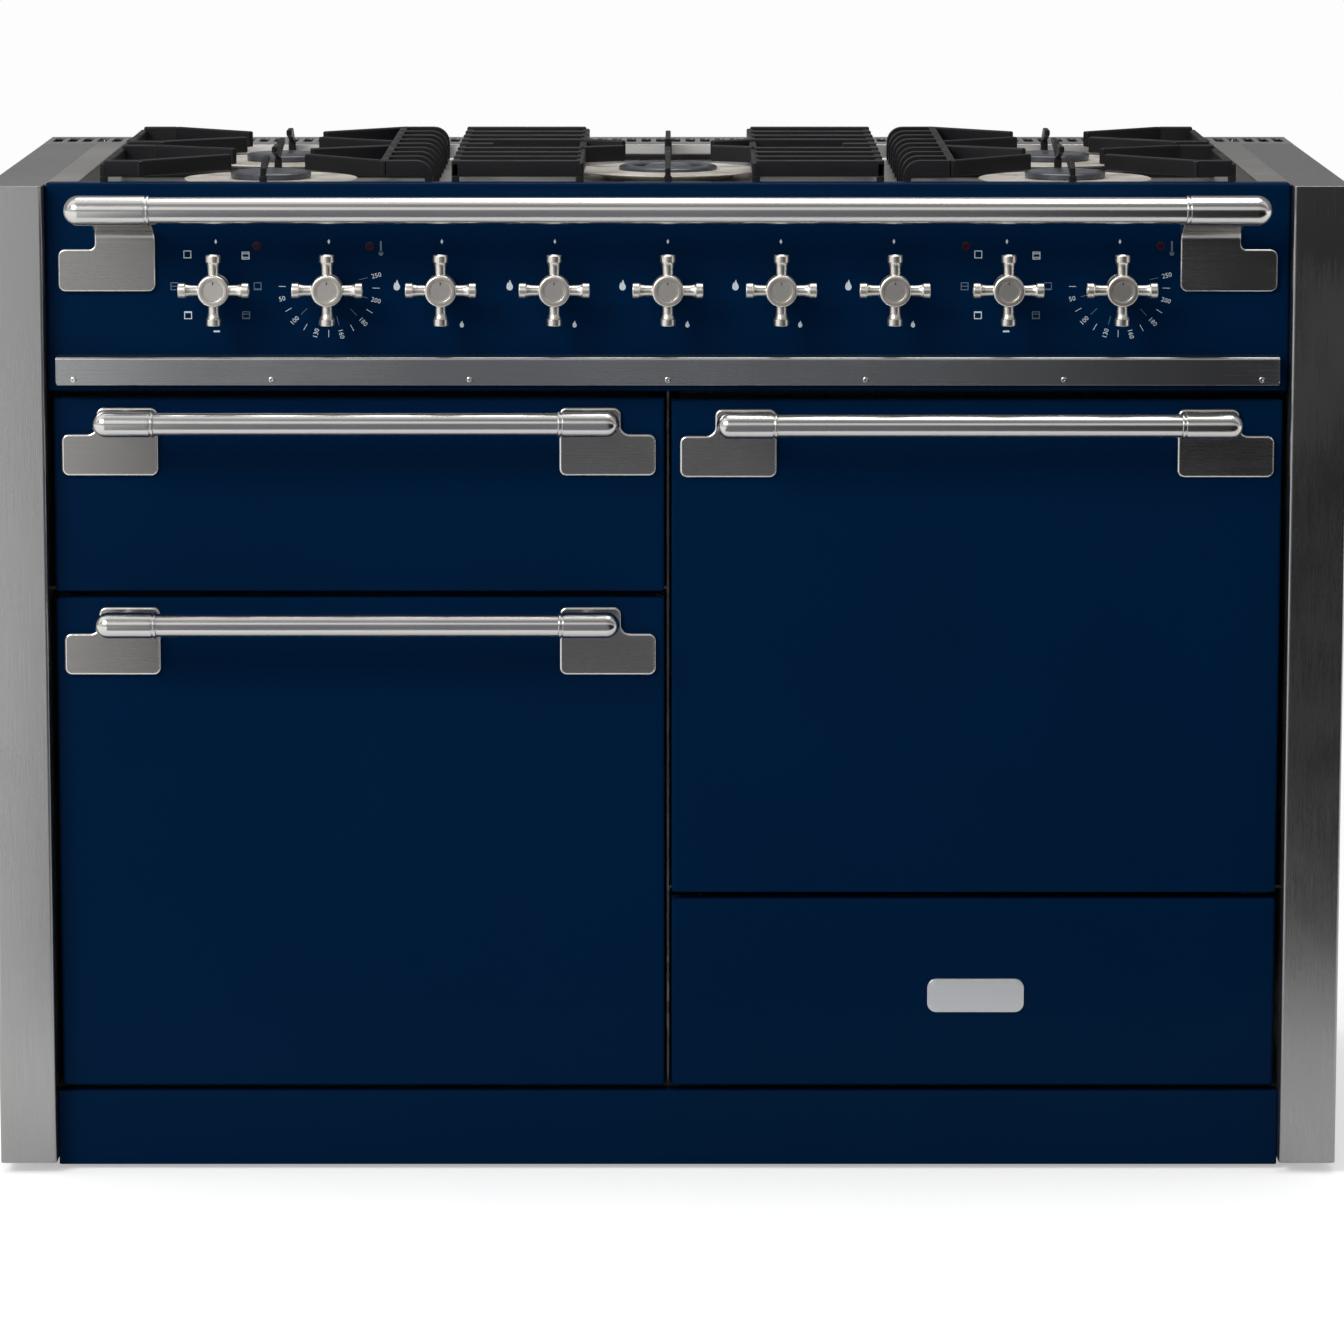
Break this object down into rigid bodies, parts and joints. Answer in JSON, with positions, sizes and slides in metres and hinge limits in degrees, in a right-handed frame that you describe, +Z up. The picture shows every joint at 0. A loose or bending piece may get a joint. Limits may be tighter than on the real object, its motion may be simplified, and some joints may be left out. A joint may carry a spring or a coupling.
{
  "type": "range cooker",
  "caption": "Wide dual fuel range cooker with gas hob, drop-down oven doors, glide-out grill, storage drawer, bar handles and cross-head knobs.",
  "frame": {"origin": "on the floor, under the centre of the whole cooker's box", "axes": "+X to the right seen from the front, +Y to the back, +Z up"},
  "size_m": [1.216, 0.6732, 0.918],
  "materials": {
    "stainless_panel": "brushed stainless, vertical grain",
    "stainless_hob": "brushed stainless",
    "polished_steel": "polished stainless",
    "satin_knob": "satin nickel",
    "navy_enamel": "gloss vitreous enamel",
    "black_enamel": "gloss vitreous enamel",
    "galvanised": "galvanised sheet",
    "cast_iron": "matt enamelled iron",
    "burner_alloy": "pale satin alloy",
    "brass": "satin brass",
    "seal": "woven glass and silicone",
    "wire": "bright plated wire",
    "switch_body": "moulded"
  },
  "bodies": {
    "cabinet": {"side_panel_left": "stainless_panel", "side_panel_right": "stainless_panel", "chassis": "galvanised", "back_panel": "galvanised", "plinth": "navy_enamel", "levelling_feet": "galvanised", "fascia": "navy_enamel", "fascia_trim": "stainless_panel", "trim_screws": "polished_steel", "top_rail": "polished_steel", "top_rail_brackets": "stainless_panel", "hob_tray": "stainless_hob", "rear_vent": "stainless_hob", "grate_left": "cast_iron", "grate_centre": "cast_iron", "grate_right": "cast_iron", "burner_bases": "burner_alloy", "burner_crowns": "brass", "burner_caps": "cast_iron", "gas_manifold": "brass", "control_switches": "switch_body", "left_oven_cavity": "black_enamel", "right_oven_cavity": "black_enamel", "grill_cavity": "black_enamel", "heating_elements": "galvanised", "oven_racks": "wire", "door_seals": "seal", "fan_motors": "galvanised"},
    "left_door": {"left_door_panel": "navy_enamel", "left_door_liner": "black_enamel", "left_door_hinges": "wire", "left_handle": "polished_steel", "left_handle_brackets": "stainless_panel"},
    "right_door": {"right_door_panel": "navy_enamel", "right_door_liner": "black_enamel", "right_door_hinges": "wire", "right_handle": "polished_steel", "right_handle_brackets": "stainless_panel"},
    "grill_drawer": {"grill_front": "navy_enamel", "grill_handle": "polished_steel", "grill_handle_brackets": "stainless_panel", "grill_pan": "black_enamel"},
    "storage_drawer": {"storage_front": "navy_enamel", "storage_box": "galvanised"},
    "left_fan": {"fan_left": "burner_alloy"},
    "right_fan": {"fan_right": "burner_alloy"},
    "spindle_1": {"tap_spindle_1": "wire"},
    "spindle_2": {"tap_spindle_2": "wire"},
    "spindle_3": {"tap_spindle_3": "wire"},
    "spindle_4": {"tap_spindle_4": "wire"},
    "spindle_5": {"tap_spindle_5": "wire"},
    "left_function_knob": {"knob_left_function": "satin_knob"},
    "left_temperature_knob": {"knob_left_temperature": "satin_knob"},
    "gas_1_knob": {"knob_gas_1": "satin_knob"},
    "gas_2_knob": {"knob_gas_2": "satin_knob"},
    "gas_3_knob": {"knob_gas_3": "satin_knob"},
    "gas_4_knob": {"knob_gas_4": "satin_knob"},
    "gas_5_knob": {"knob_gas_5": "satin_knob"},
    "right_function_knob": {"knob_right_function": "satin_knob"},
    "right_temperature_knob": {"knob_right_temperature": "satin_knob"}
  },
  "joints": [
    {"name": "left_door_drop", "type": "hinge", "parent": "cabinet", "child": "left_door", "pos_m": [-0.2776, -0.25338, 0.088], "axis": [1, 0, 0], "range_deg": [0, 90]},
    {"name": "right_door_drop", "type": "hinge", "parent": "cabinet", "child": "right_door", "pos_m": [0.2776, -0.25338, 0.267], "axis": [1, 0, 0], "range_deg": [0, 90]},
    {"name": "grill_glide", "type": "slide", "parent": "cabinet", "child": "grill_drawer", "axis": [0, -1, 0], "range_m": [0, 0.36]},
    {"name": "storage_slide", "type": "slide", "parent": "cabinet", "child": "storage_drawer", "axis": [0, -1, 0], "range_m": [0, 0.32]},
    {"name": "left_fan_spin", "type": "hinge", "parent": "cabinet", "child": "left_fan", "pos_m": [-0.2776, 0.20062, 0.31], "axis": [0, 1, 0], "continuous": true},
    {"name": "right_fan_spin", "type": "hinge", "parent": "cabinet", "child": "right_fan", "pos_m": [0.2776, 0.20062, 0.489], "axis": [0, 1, 0], "continuous": true},
    {"name": "left_function_knob_turn", "type": "hinge", "parent": "cabinet", "child": "left_function_knob", "pos_m": [-0.404, -0.29938, 0.809], "axis": [0, 1, 0], "continuous": true},
    {"name": "left_temperature_knob_turn", "type": "hinge", "parent": "cabinet", "child": "left_temperature_knob", "pos_m": [-0.303, -0.29938, 0.809], "axis": [0, 1, 0], "range_deg": [0, 270]},
    {"name": "gas_1_push", "type": "slide", "parent": "cabinet", "child": "spindle_1", "axis": [0, 1, 0], "range_m": [0, 0.003], "stiffness_N_per_m": 1500},
    {"name": "gas_1_turn", "type": "hinge", "parent": "spindle_1", "child": "gas_1_knob", "pos_m": [-0.202, -0.29938, 0.809], "axis": [0, -1, 0], "range_deg": [0, 210]},
    {"name": "gas_2_push", "type": "slide", "parent": "cabinet", "child": "spindle_2", "axis": [0, 1, 0], "range_m": [0, 0.003], "stiffness_N_per_m": 1500},
    {"name": "gas_2_turn", "type": "hinge", "parent": "spindle_2", "child": "gas_2_knob", "pos_m": [-0.101, -0.29938, 0.809], "axis": [0, -1, 0], "range_deg": [0, 210]},
    {"name": "gas_3_push", "type": "slide", "parent": "cabinet", "child": "spindle_3", "axis": [0, 1, 0], "range_m": [0, 0.003], "stiffness_N_per_m": 1500},
    {"name": "gas_3_turn", "type": "hinge", "parent": "spindle_3", "child": "gas_3_knob", "pos_m": [0, -0.29938, 0.809], "axis": [0, -1, 0], "range_deg": [0, 210]},
    {"name": "gas_4_push", "type": "slide", "parent": "cabinet", "child": "spindle_4", "axis": [0, 1, 0], "range_m": [0, 0.003], "stiffness_N_per_m": 1500},
    {"name": "gas_4_turn", "type": "hinge", "parent": "spindle_4", "child": "gas_4_knob", "pos_m": [0.101, -0.29938, 0.809], "axis": [0, -1, 0], "range_deg": [0, 210]},
    {"name": "gas_5_push", "type": "slide", "parent": "cabinet", "child": "spindle_5", "axis": [0, 1, 0], "range_m": [0, 0.003], "stiffness_N_per_m": 1500},
    {"name": "gas_5_turn", "type": "hinge", "parent": "spindle_5", "child": "gas_5_knob", "pos_m": [0.202, -0.29938, 0.809], "axis": [0, -1, 0], "range_deg": [0, 210]},
    {"name": "right_function_knob_turn", "type": "hinge", "parent": "cabinet", "child": "right_function_knob", "pos_m": [0.303, -0.29938, 0.809], "axis": [0, 1, 0], "range_deg": [-140, 140]},
    {"name": "right_temperature_knob_turn", "type": "hinge", "parent": "cabinet", "child": "right_temperature_knob", "pos_m": [0.404, -0.29938, 0.809], "axis": [0, 1, 0], "range_deg": [0, 270]}
  ]
}
